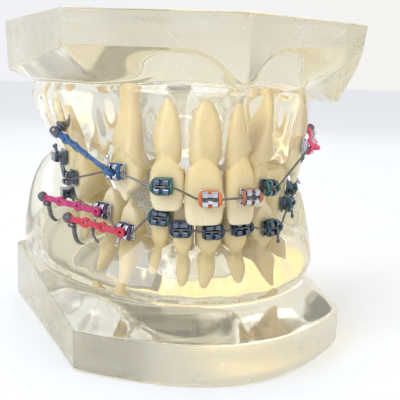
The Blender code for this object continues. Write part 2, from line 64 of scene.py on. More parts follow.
# Sizes of the visible pieces
FLAT_ROUND, EDGE_ROUND = 0.45, 0.35
TONGUE_EDGE_Z, TONGUE_FLOOR_Z = 10.9, 10.8
PALATE_EDGE_Z, PALATE_ROOF_Z = 55.8, 55.9
TOOTH_SIDES = 28
VISUAL_CROWN_WIDTH = 1.05
BRACE_EDGE = 0.07
WIRE_REACH, TUBE_WIRE_REACH = 2.1, 2.7
LEAF_HALF_WIDTH = 8.0
KNUCKLE_RADIUS, KNUCKLE_BORE, PIN_RADIUS = 1.6, 1.0, 0.7
SCREW_X = 5.0
SCREW_HEIGHTS = (("lower_jaw", (8.0, 22.0)), ("upper_jaw", (54.0, 61.0)))

# Colours of the sky and of the depth of the resin
SKY_COOL, SKY_WARM = (0.84, 0.92, 1.06), (1.0, 0.96, 0.89)
DEPTH_TINT, DEPTH_DENSITY = (0.985, 0.945, 0.80), 9.0

# Tooth kinds: width, depth, crown height, root length, edge width, edge depth and neck as shares
KINDS = {
    "central": (8.2, 6.6, 11.5, 12.0, 0.92, 0.24, 0.84),
    "lateral": (7.6, 6.0, 10.0, 11.4, 0.80, 0.26, 0.80),
    "canine": (8.2, 7.4, 10.5, 11.5, 0.34, 0.34, 0.82),
    "premolar": (7.0, 8.4, 8.5, 12.5, 0.66, 0.66, 0.84),
    "molar": (10.0, 10.4, 7.5, 11.0, 0.80, 0.74, 0.84),
    "lower_incisor": (5.8, 5.6, 9.5, 8.0, 0.88, 0.26, 0.80),
    "lower_canine": (7.2, 7.0, 10.5, 8.0, 0.36, 0.36, 0.84),
    "lower_premolar": (7.2, 7.6, 9.0, 9.5, 0.62, 0.62, 0.84),
    "lower_molar": (10.8, 10.0, 7.5, 9.5, 0.82, 0.76, 0.86),
}
ON_PAD = Matrix.Translation((0, PAD_OFFSET * MM, 0))
# How far a bracket sits from the middle of its crown, towards the patient's left
BRACKET_SHIFT = {"11": 1.1, "21": 0.3, "12": -0.2, "43": 1.2}
# How far a root leans towards the patient's right, in degrees
ROOT_LEAN = {"13": -12, "12": -5, "11": -4, "21": 8, "22": 8, "23": 6}
MOLARS = ("molar", "lower_molar")
PREMOLARS = ("premolar", "lower_premolar")

# Teeth in order along each arch: number, kind, arch angle, outward shift, slot height,
# slot height over the edge, turn about its own axis, sideways tilt
UPPER_TEETH = [
    ("16", "molar", -84.0, 0.0, 37.2, 3.8, 0, 0),
    ("15", "premolar", -73.5, 0.0, 33.6, 3.9, 0, 0),
    ("13", "canine", -46.6, 0.0, 37.0, 4.4, -6, 3),
    ("12", "lateral", -28.4, 0.0, 35.2, 4.9, 8, 2),
    ("11", "central", -10.5, 0.0, 33.3, 5.3, -3, 2),
    ("21", "central", 5.0, 0.0, 33.6, 5.6, 4, -1),
    ("22", "lateral", 17.4, -1.6, 34.7, 3.9, 10, -5),
    ("23", "canine", 41.0, 1.0, 42.0, 6.2, 4, -6),
    ("25", "premolar", 73.5, 0.0, 37.6, 4.2, 0, 0),
    ("26", "molar", 84.5, 0.0, 37.2, 3.8, 0, 0),
]
LOWER_TEETH = [
    ("46", "lower_molar", -94.0, 0.0, 28.8, 4.0, 0, 0),
    ("44", "lower_premolar", -57.8, 0.0, 28.2, 3.6, 4, -3),
    ("43", "lower_canine", -44.3, 0.0, 25.0, 5.0, -6, -5),
    ("42", "lower_incisor", -30.2, -1.0, 28.4, 4.0, 10, -4),
    ("41", "lower_incisor", -19.6, 0.0, 26.6, 4.6, 0, 2),
    ("31", "lower_incisor", -6.4, 0.0, 26.3, 4.6, 2, 0),
    ("32", "lower_incisor", 7.6, 0.0, 26.8, 4.4, -4, 3),
    ("33", "lower_canine", 27.0, 0.0, 25.7, 4.6, -8, 4),
    ("34", "lower_premolar", 44.0, 0.0, 29.5, 3.8, 0, 2),
    ("35", "lower_premolar", 58.5, 0.0, 32.0, 3.2, 0, 0),
    ("36", "lower_molar", 80.0, 0.0, 28.6, 4.0, 0, 0),
]


# Camera and light

def camera():
    turn, pitch, roll = (math.radians(v) for v in (CAMERA_AZIMUTH, CAMERA_PITCH, CAMERA_ROLL))
    ahead = Vector((-math.sin(turn) * math.cos(pitch), math.cos(turn) * math.cos(pitch), -math.sin(pitch)))
    level = ahead.cross(Vector((0, 0, 1))).normalized()
    above = level.cross(ahead)
    right = level * math.cos(roll) + above * math.sin(roll)
    up = above * math.cos(roll) - level * math.sin(roll)
    eye = bpy.data.objects.new("camera", bpy.data.cameras.new("camera"))
    rows = Matrix((right, up, -ahead)).transposed().to_4x4()
    eye.matrix_world = Matrix.Translation(Vector(CAMERA_AT) * MM) @ rows
    eye.data.lens = CAMERA_LENS
    eye.data.sensor_width = 36.0
    eye.data.clip_start = 0.01
    scene.collection.objects.link(eye)
    scene.camera = eye


def lamp(name, at, aim, size, power, color):
    data = bpy.data.lights.new(name, "AREA")
    data.shape = "RECTANGLE"
    data.size, data.size_y = size
    data.energy = power
    data.color = color
    light = bpy.data.objects.new(name, data)
    light.location = at
    light.rotation_euler = (Vector(aim) - Vector(at)).to_track_quat("-Z", "Y").to_euler()
    scene.collection.objects.link(light)


camera()


# Finishes

class Value:
    """A socket in a finish: + - and * on it add Math nodes."""

    def __init__(self, finish, socket):
        self.finish = finish
        self.socket = socket

    def math(self, operation, other):
        return self.finish.node("ShaderNodeMath", {"operation": operation}, {0: self, 1: other})

    def __add__(self, other):
        return self.math("ADD", other)

    def __sub__(self, other):
        return self.math("SUBTRACT", other)

    def __mul__(self, other):
        return self.math("MULTIPLY", other)


class Finish:
    """One material, built from a Principled shader and whatever its maker adds."""

    def __init__(self, name, **fixed):
        self.material = bpy.data.materials.new(name)
        self.material.use_nodes = True
        self.tree = self.material.node_tree
        self.shader = self.tree.nodes["Principled BSDF"]
        self.output = self.tree.nodes["Material Output"]
        for socket, value in fixed.items():
            self.feed(self.shader.inputs[socket.replace("_", " ")], value)

    def feed(self, socket, value):
        if isinstance(value, Value):
            self.tree.links.new(value.socket, socket)
        elif isinstance(value, tuple) and len(value) == 3 and socket.type == "RGBA":
            socket.default_value = (*value, 1.0)
        else:
            socket.default_value = value

    def node(self, kind, settings=None, sockets=None, out=0):
        made = self.tree.nodes.new(kind)
        for name, value in (settings or {}).items():
            if name == "stops":
                self.stops(made.color_ramp, value)
            else:
                setattr(made, name, value)
        for key, value in (sockets or {}).items():
            self.feed(made.inputs[key], value)
        return Value(self, made.outputs[out])

    def stops(self, ramp, stops):
        while len(ramp.elements) < len(stops):
            ramp.elements.new(0.5)
        for element, (place, color) in zip(ramp.elements, stops):
            element.position = place
            element.color = (*color, 1.0)

    def surface(self, **sockets):
        for name, value in sockets.items():
            self.feed(self.shader.inputs[name.replace("_", " ")], value)

    def place(self):
        """The piece's own coordinates."""
        return self.node("ShaderNodeTexCoord", out=3)

    def part(self, vector, axis):
        return self.node("ShaderNodeSeparateXYZ", {}, {0: vector}, out="XYZ".index(axis))

    def noise(self, scale, detail=3.0, roughness=0.5, stretch=(1, 1, 1)):
        where = self.place()
        if stretch != (1, 1, 1):
            sockets = {0: where, 1: stretch}
            where = self.node("ShaderNodeVectorMath", {"operation": "MULTIPLY"}, sockets)
        sockets = {"Vector": where, "Scale": scale, "Detail": detail, "Roughness": roughness}
        return self.node("ShaderNodeTexNoise", {}, sockets)

    def mix(self, share, first, second):
        settings = {"data_type": "RGBA"}
        return self.node("ShaderNodeMix", settings, {0: share, 6: first, 7: second}, out=2)

    def between(self, value, low, high, to_low=0.0, to_high=1.0):
        sockets = {0: value, 1: low, 2: high, 3: to_low, 4: to_high}
        return self.node("ShaderNodeMapRange", {"clamp": True}, sockets)

    def bump(self, height, strength, distance):
        sockets = {"Strength": strength, "Distance": distance, "Height": height}
        self.surface(Normal=self.node("ShaderNodeBump", {}, sockets))


def resin_finish(name, tint, roughness, clear, ripple):
    """Cast acrylic. Lamps shine through it, so that the roots inside are lit."""
    made = Finish(name, Metallic=0.0, IOR=1.46)
    made.surface(Transmission_Weight=clear)
    cloud = made.noise(60.0, 3.0)
    haze = made.noise(260.0, 2.0)
    deeper = tuple(v * w for v, w in zip(tint, (0.985, 0.965, 0.93)))
    made.surface(Base_Color=made.mix(cloud, deeper, tint))
    made.surface(Roughness=made.between(haze, 0.3, 0.7, roughness * 0.7, roughness * 1.3))
    made.bump(made.noise(110.0, 1.0), ripple, 0.0005)
    through = made.node("ShaderNodeBsdfTransparent", {}, {0: tuple(v ** 0.5 for v in tint)})
    shadow = made.node("ShaderNodeLightPath", out=1)
    depth = made.node("ShaderNodeVolumeAbsorption", {}, {"Color": DEPTH_TINT, "Density": DEPTH_DENSITY})
    made.feed(made.output.inputs["Volume"], depth)
    solid = Value(made, made.shader.outputs[0])
    both = made.node("ShaderNodeMixShader", {}, {0: shadow, 1: solid, 2: through})
    made.feed(made.output.inputs["Surface"], both)
    return made.material


def ivory_finish():
    """Tooth ivory: lighter at the edge, deeper towards the neck and root, with faint growth lines."""
    made = Finish("tooth_ivory", IOR=1.5)
    where = made.place()
    along = made.part(where, "Z")
    toward_root = made.between(along, -0.006, 0.012)
    wash = made.noise(160.0, 4.0, 0.6)
    fine = made.noise(900.0, 3.0)
    lines = made.noise(500.0, 2.0, 0.5, stretch=(1.0, 1.0, 0.16))
    crown_and_root = made.node("ShaderNodeValToRGB", {"stops": [
        (0.0, (0.72, 0.64, 0.44)), (0.30, (0.68, 0.57, 0.32)), (0.55, (0.70, 0.55, 0.27)),
        (1.0, (0.74, 0.58, 0.30))]}, {0: toward_root + (wash - 0.5) * 0.25})
    stain = made.between(wash * 0.6 + lines * 0.4, 0.42, 0.70, 0.0, 0.35)
    made.surface(Base_Color=made.mix(stain, crown_and_root, (0.66, 0.50, 0.27)))
    made.surface(Roughness=made.between(fine, 0.3, 0.7, 0.24, 0.38))
    made.surface(Subsurface_Weight=0.12, Subsurface_Radius=(0.002, 0.0012, 0.0006), Subsurface_Scale=1.0)
    made.surface(Coat_Weight=0.25, Coat_Roughness=0.12)
    made.bump(lines * 0.7 + fine * 0.3, 0.12, 0.0003)
    return made.material


def metal_finish(name, color, roughness, grain=1400.0):
    """Drawn or milled metal with a fine grain and slightly duller patches."""
    made = Finish(name, Metallic=1.0)
    grains = made.noise(grain, 3.0, 0.6, stretch=(0.3, 1.0, 1.0))
    patches = made.noise(700.0, 2.0)
    darker = tuple(v * 0.7 for v in color)
    made.surface(Base_Color=made.mix(made.between(patches, 0.35, 0.75, 0.0, 0.8), color, darker))
    made.surface(Roughness=made.between(grains, 0.3, 0.7, roughness * 0.7, roughness * 1.4))
    made.bump(grains, 0.10, 0.00008)
    return made.material


def elastomer_finish(name, color):
    """Moulded elastomer: satin, with a slightly paler bloom."""
    made = Finish(name, IOR=1.5)
    bloom = made.noise(900.0, 3.0)
    paler = tuple(min(1.0, v * 1.25 + 0.03) for v in color)
    made.surface(Base_Color=made.mix(made.between(bloom, 0.35, 0.7), color, paler))
    made.surface(Roughness=made.between(bloom, 0.3, 0.7, 0.22, 0.36))
    made.surface(Coat_Weight=0.1, Coat_Roughness=0.2)
    made.bump(bloom, 0.08, 0.0001)
    return made.material


POLISHED = resin_finish("polished_resin", (0.93, 0.91, 0.83), 0.05, 0.92, 0.12)
GROUND = resin_finish("ground_resin", (0.83, 0.82, 0.76), 0.34, 0.78, 0.05)
IVORY = ivory_finish()
STEEL = metal_finish("bracket_steel", (0.62, 0.63, 0.66), 0.18)
# The same bracket steel in a darker colour: a painted dark reflection of the surroundings, not a darker
# metal.
PAINTED_REFLECTION_STEEL = metal_finish("bracket_steel_painted_reflection", (0.14, 0.17, 0.22), 0.20)
WIRE = metal_finish("archwire_steel", (0.20, 0.18, 0.17), 0.30)
TIE = metal_finish("tie_wire_steel", (0.50, 0.42, 0.36), 0.30)
TITANIUM = metal_finish("implant_titanium", (0.17, 0.17, 0.18), 0.30)
HINGE_STEEL = metal_finish("hinge_steel", (0.60, 0.60, 0.62), 0.28, 2200.0)
ELASTOMER = {name: elastomer_finish("elastomer_" + name, color) for name, color in {
    "blue": (0.002, 0.06, 0.18), "pink": (0.62, 0.03, 0.12), "magenta": (0.38, 0.012, 0.10),
    "red": (0.42, 0.008, 0.035), "green": (0.003, 0.09, 0.07), "orange": (0.52, 0.11, 0.02),
    "brown": (0.30, 0.10, 0.05), "teal": (0.004, 0.06, 0.08), "navy": (0.008, 0.018, 0.05),
    "purple": (0.04, 0.012, 0.07)}.items()}


# Mesh helpers

def lerp(a, b, share):
    return a + (b - a) * min(1.0, max(0.0, share))


def smooth(low, high, value):
    t = min(1.0, max(0.0, (value - low) / (high - low)))
    return t * t * (3 - 2 * t)


def piece(name, shell, finishes, body, matrix=None, replaces=(), smooth_shade=True):
    """Turn a bmesh in millimetres into a piece that rides on a jaw."""
    bmesh.ops.recalc_face_normals(shell, faces=shell.faces)
    for vert in shell.verts:
        vert.co *= MM
    for face in shell.faces:
        face.smooth = smooth_shade
    mesh = bpy.data.meshes.new(name)
    shell.to_mesh(mesh)
    shell.free()
    made = bpy.data.objects.new(name, mesh)
    for finish in finishes:
        mesh.materials.append(finish)
    scene.collection.objects.link(made)
    made.matrix_world = matrix or Matrix.Identity(4)
    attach(made, body)
    if replaces:
        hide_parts(*replaces)
    return made


def rounded(made, width):
    bevel = made.modifiers.new("rounded edges", "BEVEL")
    bevel.width = width * MM
    bevel.segments = 2
    bevel.limit_method = "ANGLE"
    bevel.angle_limit = math.radians(35)


def skin(shell, rings):
    """Quads between rings of points, with fans that close the ends."""
    loops = [[shell.verts.new(point) for point in ring] for ring in rings]
    count = len(loops[0])
    for lower, upper in zip(loops, loops[1:]):
        for i in range(count):
            j = (i + 1) % count
            shell.faces.new((lower[i], lower[j], upper[j], upper[i]))
    for loop in (loops[0], loops[-1]):
        middle = shell.verts.new(sum((v.co for v in loop), Vector()) / count)
        for i in range(count):
            shell.faces.new((loop[i], loop[(i + 1) % count], middle))
    return loops


def sweep(shell, points, section, closed=False, scale=None, side=Vector((0, 0, 1))):
    """Carry a section, as (across, up) pairs, along a path. side steers the section's up."""
    path = [Vector(p) for p in points]
    count = len(path)
    rings = []
    for i, point in enumerate(path):
        before = path[i - 1] if closed or i else path[0]
        after = path[(i + 1) % count] if closed or i < count - 1 else path[-1]
        ahead = (after - before).normalized()
        across = ahead.cross(side)
        if across.length < 1e-4:
            across = ahead.cross(Vector((1, 0, 0)))
        across.normalize()
        up = across.cross(ahead)
        wide, high = scale(i / (count - 1)) if scale else (1.0, 1.0)
        rings.append([point + across * (a * wide) + up * (b * high) for a, b in section])
    if closed:
        loops = [[shell.verts.new(p) for p in ring] for ring in rings]
        for k in range(count):
            near, far = loops[k], loops[(k + 1) % count]
            for i in range(len(near)):
                j = (i + 1) % len(near)
                shell.faces.new((near[i], near[j], far[j], far[i]))
    else:
        skin(shell, rings)


def disc(radius, count=10):
    turns = [2 * math.pi * i / count for i in range(count)]
    return [(radius * math.cos(turn), radius * math.sin(turn)) for turn in turns]


def turned(middle, radius, sides, across=Vector((1, 0, 0)), up=Vector((0, 0, 1))):
    """One ring of a turned shape, round a middle point."""
    return [middle + across * a + up * b for a, b in disc(radius, sides)]


def block(shell, low, high, soften=0.0):
    """A box between two corners with softened edges."""
    made = bmesh.ops.create_cube(shell, size=1.0)["verts"]
    size = [h - l for l, h in zip(low, high)]
    for vert in made:
        vert.co = Vector([(l + h) / 2 + c * s for l, h, c, s in zip(low, high, vert.co, size)])
    if soften:
        edges = list({edge for vert in made for edge in vert.link_edges})
        bmesh.ops.bevel(shell, geom=edges, offset=soften, segments=2, affect="EDGES", profile=0.6)


def extrusion(shell, outline, low, high, place):
    """A prism on a drawn outline. place puts (a, b, distance) into the piece's frame."""
    near = [shell.verts.new(place(a, b, low)) for a, b in outline]
    far = [shell.verts.new(place(a, b, high)) for a, b in outline]
    shell.faces.new(near)
    shell.faces.new(far[::-1])
    for i in range(len(outline)):
        j = (i + 1) % len(outline)
        shell.faces.new((near[j], near[i], far[i], far[j]))


def ball(shell, at, radius):
    made = bmesh.ops.create_icosphere(shell, subdivisions=2, radius=radius)["verts"]
    for vert in made:
        vert.co += Vector(at)


def spline(points, per_span=8):
    """A smooth path through points."""
    path = [Vector(p) for p in points]
    ends = [path[0] * 2 - path[1]] + path + [path[-1] * 2 - path[-2]]
    out = []
    for a, b, c, d in zip(ends, ends[1:], ends[2:], ends[3:]):
        for k in range(per_span):
            t = k / per_span
            out.append(0.5 * ((2 * b) + (c - a) * t + (2 * a - 5 * b + 4 * c - d) * t * t
                              + (3 * b - a - 3 * c + d) * t ** 3))
    return out + [path[-1]]


# Arches and tooth places, as in the CAD model

def arch_point(arch, angle, out=0.0):
    centre_x, centre_y, half_width, half_length = arch
    turn = math.radians(angle)
    clipped = math.copysign(min(abs(turn), math.pi / 2), turn)
    behind = (abs(turn) - abs(clipped)) * half_length
    x = centre_x + half_width * math.sin(clipped)
    y = centre_y - half_length * math.cos(clipped) + behind
    normal = Vector((math.sin(clipped) / half_width, -math.cos(clipped) / half_length, 0)).normalized()
    return Vector((x, y, 0)) + normal * out, normal


def tooth_frame(arch, tooth, root_up):
    """A tooth's own frame: X along the arch, Y outward, Z towards the root. Lengths in metres."""
    _, _, angle, out, slot_z, _, turn, tilt = tooth
    point, normal = arch_point(arch, angle, out)
    heading = math.atan2(normal.x, -normal.y) + math.pi
    place_at = Matrix.Translation(Vector((point.x, point.y, slot_z)) * MM)
    spin = Matrix.Rotation(heading + math.radians(turn), 4, "Z")
    upright = place_at @ spin @ Matrix.Rotation(math.radians(tilt), 4, "Y")
    return upright if root_up else upright @ Matrix.Rotation(math.pi, 4, "Y")


def crown_middle(arch, tooth):
    """The point of the arch that the middle of a crown faces, as against its bracket's."""
    point, normal = arch_point(arch, tooth[2], tooth[3])
    return point + normal.cross(Vector((0, 0, 1))) * BRACKET_SHIFT.get(tooth[0], 0.0)


def tooth_widths(arch, teeth):
    """Crown widths at the face that leave a gap to each neighbour."""
    centres = [crown_middle(arch, t) for t in teeth]
    nominal = [KINDS[t[1]][0] for t in teeth]
    widths = list(nominal)
    for i in range(len(teeth) - 1):
        reach = (centres[i + 1] - centres[i]).length - NEIGHBOUR_GAP
        share = reach / (nominal[i] + nominal[i + 1])
        for j in (i, i + 1):
            widths[j] = min(widths[j], 2 * share * nominal[j])
    return widths


def arch_radius(arch, angle):
    """Radius of the arch's curve at an angle."""
    before, first = arch_point(arch, angle - 1.5)
    after, second = arch_point(arch, angle + 1.5)
    return max(10.0, (after - before).length / max(first.angle(second), 1e-3))


# Teeth

def cusps(kind, x, y):
    """Height of the biting surface at a point, as shares of half the width and half the depth."""
    bumps = {
        "premolar": [(0, 0.45, 1.0), (0, -0.5, 0.8)],
        "lower_premolar": [(0, 0.40, 1.0), (0, -0.55, 0.6)],
        "molar": [(-0.45, 0.45, 1.0), (0.42, 0.45, 0.9), (-0.4, -0.5, 0.9), (0.45, -0.45, 0.7)],
        "lower_molar": [(-0.55, 0.45, 0.9), (0.05, 0.5, 0.95), (0.6, 0.4, 0.8), (-0.45, -0.5, 1.0),
                        (0.4, -0.5, 0.9)],
        "canine": [(0, 0, 1.4)], "lower_canine": [(0, 0, 1.4)],
    }.get(kind, [])
    return sum(h * math.exp(-((x - a) ** 2 + (y - b) ** 2) / 0.09) for a, b, h in bumps)


def crown_stations(kind):
    """Along the crown and root: share of length, width share, depth share and how far the face moves in."""
    _, _, _, _, edge_width, edge_depth, neck = KINDS[kind]
    shoulder = 0.56 if "canine" in kind else 0.22
    belly = 0.86 if "canine" in kind else 0.74
    return [
        (0.0, edge_width * 0.80, edge_depth * 0.62, -0.42),
        (0.03, edge_width * 0.92, edge_depth * 0.88, -0.28),
        (0.10, lerp(edge_width, 1.0, shoulder), lerp(edge_depth, 1, 0.10), -0.14),
        (0.26, lerp(edge_width, 1.0, belly), lerp(edge_depth, 1.0, 0.34), -0.02),
        (0.46, 1.0, lerp(edge_depth, 1.0, 0.60), 0.0),
        (0.64, 0.99, lerp(edge_depth, 1.0, 0.82), -0.02),
        (0.80, lerp(neck, 1.0, 0.66), 0.95, -0.12),
        (0.93, lerp(neck, 1.0, 0.22), 0.93 * neck + 0.07, -0.30),
        (1.0, neck, 0.90 * neck + 0.08, -0.50),
        (1.20, neck * 0.99, neck * 0.95, -0.66),
        (1.42, neck * 0.89, neck * 0.85, -0.85),
        (1.64, neck * 0.73, neck * 0.71, -1.05),
        (1.82, neck * 0.56, neck * 0.55, -1.35),
        (1.93, neck * 0.40, neck * 0.40, -1.65),
        (1.985, neck * 0.24, neck * 0.25, -1.85),
    ]


def tooth_ring(kind, width, station, over_edge, curl, lean, radius, shift):
    _, depth, crown, root = KINDS[kind][:4]
    along, wide, deep, face = station
    height = crown * along if along <= 1 else crown + root * (along - 1)
    a, b = width / 2 * wide, depth / 2 * deep
    boxy = smooth(1.1, 0.9, along)
    ring = []
    for k in range(TOOTH_SIDES):
        turn = 2 * math.pi * (k + 0.5) / TOOTH_SIDES
        c, s = math.cos(turn), math.sin(turn)
        x = math.copysign(abs(c) ** lerp(0.92, 0.56 if s > 0 else 0.9, boxy), c) * a
        y = math.copysign(abs(s) ** lerp(0.92, 0.84, boxy), s) * b + face - b
        lobe = 0.07 * math.cos(3 * math.pi * x / max(a, 0.3)) * smooth(0.6, 0.2, along) * (s > 0)
        flute = 0.16 * math.exp(-(c / 0.35) ** 2) * smooth(1.05, 1.3, along) * smooth(1.98, 1.7, along)
        x = x * (1 + (y + 0.5 * b) / radius) + curl * max(0.0, along - 1.0) ** 2 + shift
        x += lean * max(0.0, height - 0.8 * crown)
        ring.append(Vector((x, y + lobe - math.copysign(flute, s), height - over_edge)))
    return ring


def biting_cap(kind, width, first):
    """Rings that close the crown over its biting edge, with cusps."""
    a, b = width / 2, KINDS[kind][1] / 2
    middle = sum(first, Vector()) / len(first)
    rise = 1.5 if kind in MOLARS + PREMOLARS else 1.0
    caps = []
    for share, dome in ((0.03, 0.34), (0.25, 0.30), (0.5, 0.22), (0.75, 0.12), (0.92, 0.04)):
        ring = []
        for p in first:
            q = middle.lerp(p, share)
            x, y = (q.x - middle.x) / a, (q.y - middle.y) / b
            ring.append(Vector((q.x, q.y, q.z - dome * 0.6 - rise * (1 - share ** 6) * cusps(kind, x, y))))
        caps.append(ring)
    return caps


def root_prongs(kind, width, over_edge):
    """Paths and radii of a molar's separate roots."""
    _, depth, crown, root = KINDS[kind][:4]
    x, y = width * 0.24, depth * 0.24
    spots = [(-x, -depth * 0.5 + y), (x, -depth * 0.5 + y), (0, -depth * 0.5 - y * 1.1)]
    if kind == "lower_molar":
        spots = [(-x, -depth * 0.5), (x, -depth * 0.5)]
    prongs = []
    for sx, sy in spots:
        points = []
        for t in (0.0, 0.25, 0.5, 0.75, 1.0):
            spread = 1.0 + 0.35 * math.sin(t * math.pi * 0.7)
            z = crown - over_edge - 1.2 + (root + 1.0) * t
            points.append((sx * spread, (sy + depth * 0.5) * spread - depth * 0.5, z))
        prongs.append(points)
    return prongs


def ivory_tooth(jaw, arch, tooth, width, matrix, root_up):
    number, kind, over_edge = tooth[0], tooth[1], tooth[5]
    curl = (0.9 if kind in MOLARS + PREMOLARS else 0.5) * distal_side(tooth, root_up)
    lean = math.tan(math.radians(ROOT_LEAN.get(number, 0)))
    shift = BRACKET_SHIFT.get(number, 0.0) * (1 if root_up else -1)
    radius = arch_radius(arch, tooth[2])
    stations = crown_stations(kind)
    if kind in MOLARS:
        stations = [s for s in stations if s[0] <= 1.22] + [(1.34, 0.5, 0.5, -1.6)]
    wide = VISUAL_CROWN_WIDTH * width
    rings = [tooth_ring(kind, wide, s, over_edge, curl, lean, radius, shift) for s in stations]
    rings = biting_cap(kind, width, rings[0]) + rings
    shell = bmesh.new()
    skin(shell, rings)
    if kind in MOLARS:
        for prong in root_prongs(kind, width, over_edge):
            stout = 1.25 if kind == "lower_molar" else 1.0
            sweep(shell, spline(prong, 5), disc(1.9, 14), scale=lambda t: (
                stout * (1.0 - 0.74 * t ** 1.6), 1.2 * (1.0 - 0.74 * t ** 1.6)))
    made = piece("ivory_" + number, shell, [IVORY], jaw, matrix, ["tooth_" + number])
    if kind in MOLARS:
        remesh = made.modifiers.new("one body", "REMESH")
        remesh.mode = "VOXEL"
        remesh.voxel_size = 0.28 * MM
        remesh.use_smooth_shade = True
        relax = made.modifiers.new("relax", "SMOOTH")
        relax.iterations = 6
        relax.factor = 0.5
    else:
        smoothing = made.modifiers.new("smooth", "SUBSURF")
        smoothing.levels = smoothing.render_levels = 1


# Resin jaws

def mirrored(half):
    return half + [(-x, y) for x, y in reversed(half) if x > 0]


def lower_outline():
    front = [(28.3 * s, lerp(-36.3, -21.4, s ** 1.9)) for s in [i / 14 for i in range(15)]]
    return mirrored(front + [(33.7, 30.2), (32.1, BACK_Y), (0.0, BACK_Y)])


def upper_outline():
    return mirrored([(0.0, -34.0), (30.8, -21.4), (36.2, 24.9), (29.3, BACK_Y), (0.0, BACK_Y)])


def lower_wall_top(x, y):
    if y > 25 and abs(x) < 26:
        return 11.0
    return lerp(8.4, 13.5, (y + 21.4) / 50)


def upper_wall_bottom(x, y):
    if y > 27 and abs(x) < 24:
        return 55.0
    if y < -21.3:
        lowest_at_tip = 6.0 * math.exp(-(abs(x) / 4.8) ** 1.6)
        return (60.0 if x < 0 else 61.0) - lowest_at_tip
    if x > 0:
        return lerp(59.4, 50.4, (y + 21.4) / 11)
    return lerp(59.6, 55.3, (y + 21.4) / 46)


class Jaw:
    """Nested loops round a point in the middle of an arch, from the block's wall to the tongue side."""

    def __init__(self, outline, arch, sections, teeth, root_up, floor_z, count=168):
        self.centre = Vector((0.0, 2.0))
        self.arch = arch
        self.sections = sections
        self.floor_z = floor_z
        self.root_up = root_up
        self.outline = outline
        self.marks = [crown_middle(arch, t) for t in teeth]
        corners = [self.bearing(p) for p in outline if abs(p[0]) > 25 or abs(p[0]) < 0.1]
        even = [2 * math.pi * i / count for i in range(count)]
        spread = [a for a in even if all(abs(self.gap(a, c)) > 0.6 * 2 * math.pi / count for c in corners)]
        self.bearings = sorted(set(spread + corners))
        self.corners = corners

    def gap(self, a, b):
        return (a - b + math.pi) % (2 * math.pi) - math.pi

    def bearing(self, point):
        return math.atan2(point[1] - self.centre.y, point[0] - self.centre.x) % (2 * math.pi)

    def loop(self, points, heights):
        """Radius and height at each bearing of a closed curve."""
        angle = np.array([self.bearing(p) for p in points])
        radius = np.array([math.hypot(p[0] - self.centre.x, p[1] - self.centre.y) for p in points])
        order = np.argsort(angle)
        angle, radius, height = angle[order], radius[order], np.array(heights)[order]
        return [np.interp(self.bearings, angle, v, period=2 * math.pi) for v in (radius, height)]

    def wall_loop(self):
        dense = []
        for i, (x, y) in enumerate(self.outline):
            nx, ny = self.outline[(i + 1) % len(self.outline)]
            steps = max(2, int(math.hypot(nx - x, ny - y) / 0.25))
            dense += [(x + (nx - x) * k / steps, y + (ny - y) * k / steps) for k in range(steps)]
        return self.loop(dense, [0.0] * len(dense))[0]

    def over_root(self, point):
        """How nearly a point on the arch is level with the middle of a tooth, from 0 to 1."""
        near = min((point - mark).length for mark in self.marks)
        return math.exp(-(near / 2.3) ** 2)

    def gum_loops(self, bulge):
        """One closed curve for each point of the gum section, open ends joined across the back."""
        heel = 90 + math.degrees((HEEL_Y - self.arch[1]) / self.arch[3])
        middle, spread, swell, lift = bulge
        way = 1 if self.root_up else -1
        loops = []
        for k in range(len(self.sections[0][1])):
            points, heights = [], []
            for step in range(361):
                angle = -heel + 2 * heel * step / 360
                base, normal = arch_point(self.arch, angle)
                out, z, root_swell, recede = self.section(base.y, k)
                share = math.exp(-((angle - middle) / spread) ** 2)
                tooth = self.over_root(base)
                point = base + normal * (out + swell[k] * share + root_swell * tooth)
                points.append((point.x, point.y))
                heights.append(z + lift[k] * share + way * recede * (tooth - 0.5))
            first, last = points[0], points[-1]
            for step in range(1, 60):
                t = step / 60
                x = last[0] + (first[0] - last[0]) * t
                across = smooth(11.5, 18.0, abs(x))
                height = last_z(heights, t)
                bow = 1.6 * math.sin(math.pi * t) if k < 5 else 0.0
                points.append((x, last[1] + bow))
                heights.append(lerp(self.floor_z, height, across))
            loops.append(self.loop(points, heights))
        return loops

    def section(self, y, k):
        keys = self.sections
        for (y0, first), (y1, second) in zip(keys, keys[1:]):
            if y <= y1:
                share = smooth(y0, y1, y)
                return [a + (b - a) * share for a, b in zip(first[k], second[k])]
        return keys[-1][1][k]

    def ring(self, radii, heights):
        return [Vector((self.centre.x + r * math.cos(a), self.centre.y + r * math.sin(a), z))
                for a, r, z in zip(self.bearings, radii, heights)]


def last_z(heights, t):
    """Height along the joined back, blended from the last arch point to the first."""
    return heights[360] + (heights[0] - heights[360]) * t


def gum_sections(recession, rows):
    """Sections as points from the cheek side to the tongue side. A row holds its distance from the front
    of the arch's sides, the share of the recession, swells over a root, outward offsets and heights."""
    sections = []
    for y, share, swells, outs, heights in rows:
        swell = (0, 0) + swells + (0,) * 6
        recede = (0,) * 5 + tuple(round(v * share, 2) for v in recession) + (0,) * 4
        sections.append((y, list(zip(outs, heights, swell, recede))))
    return sections


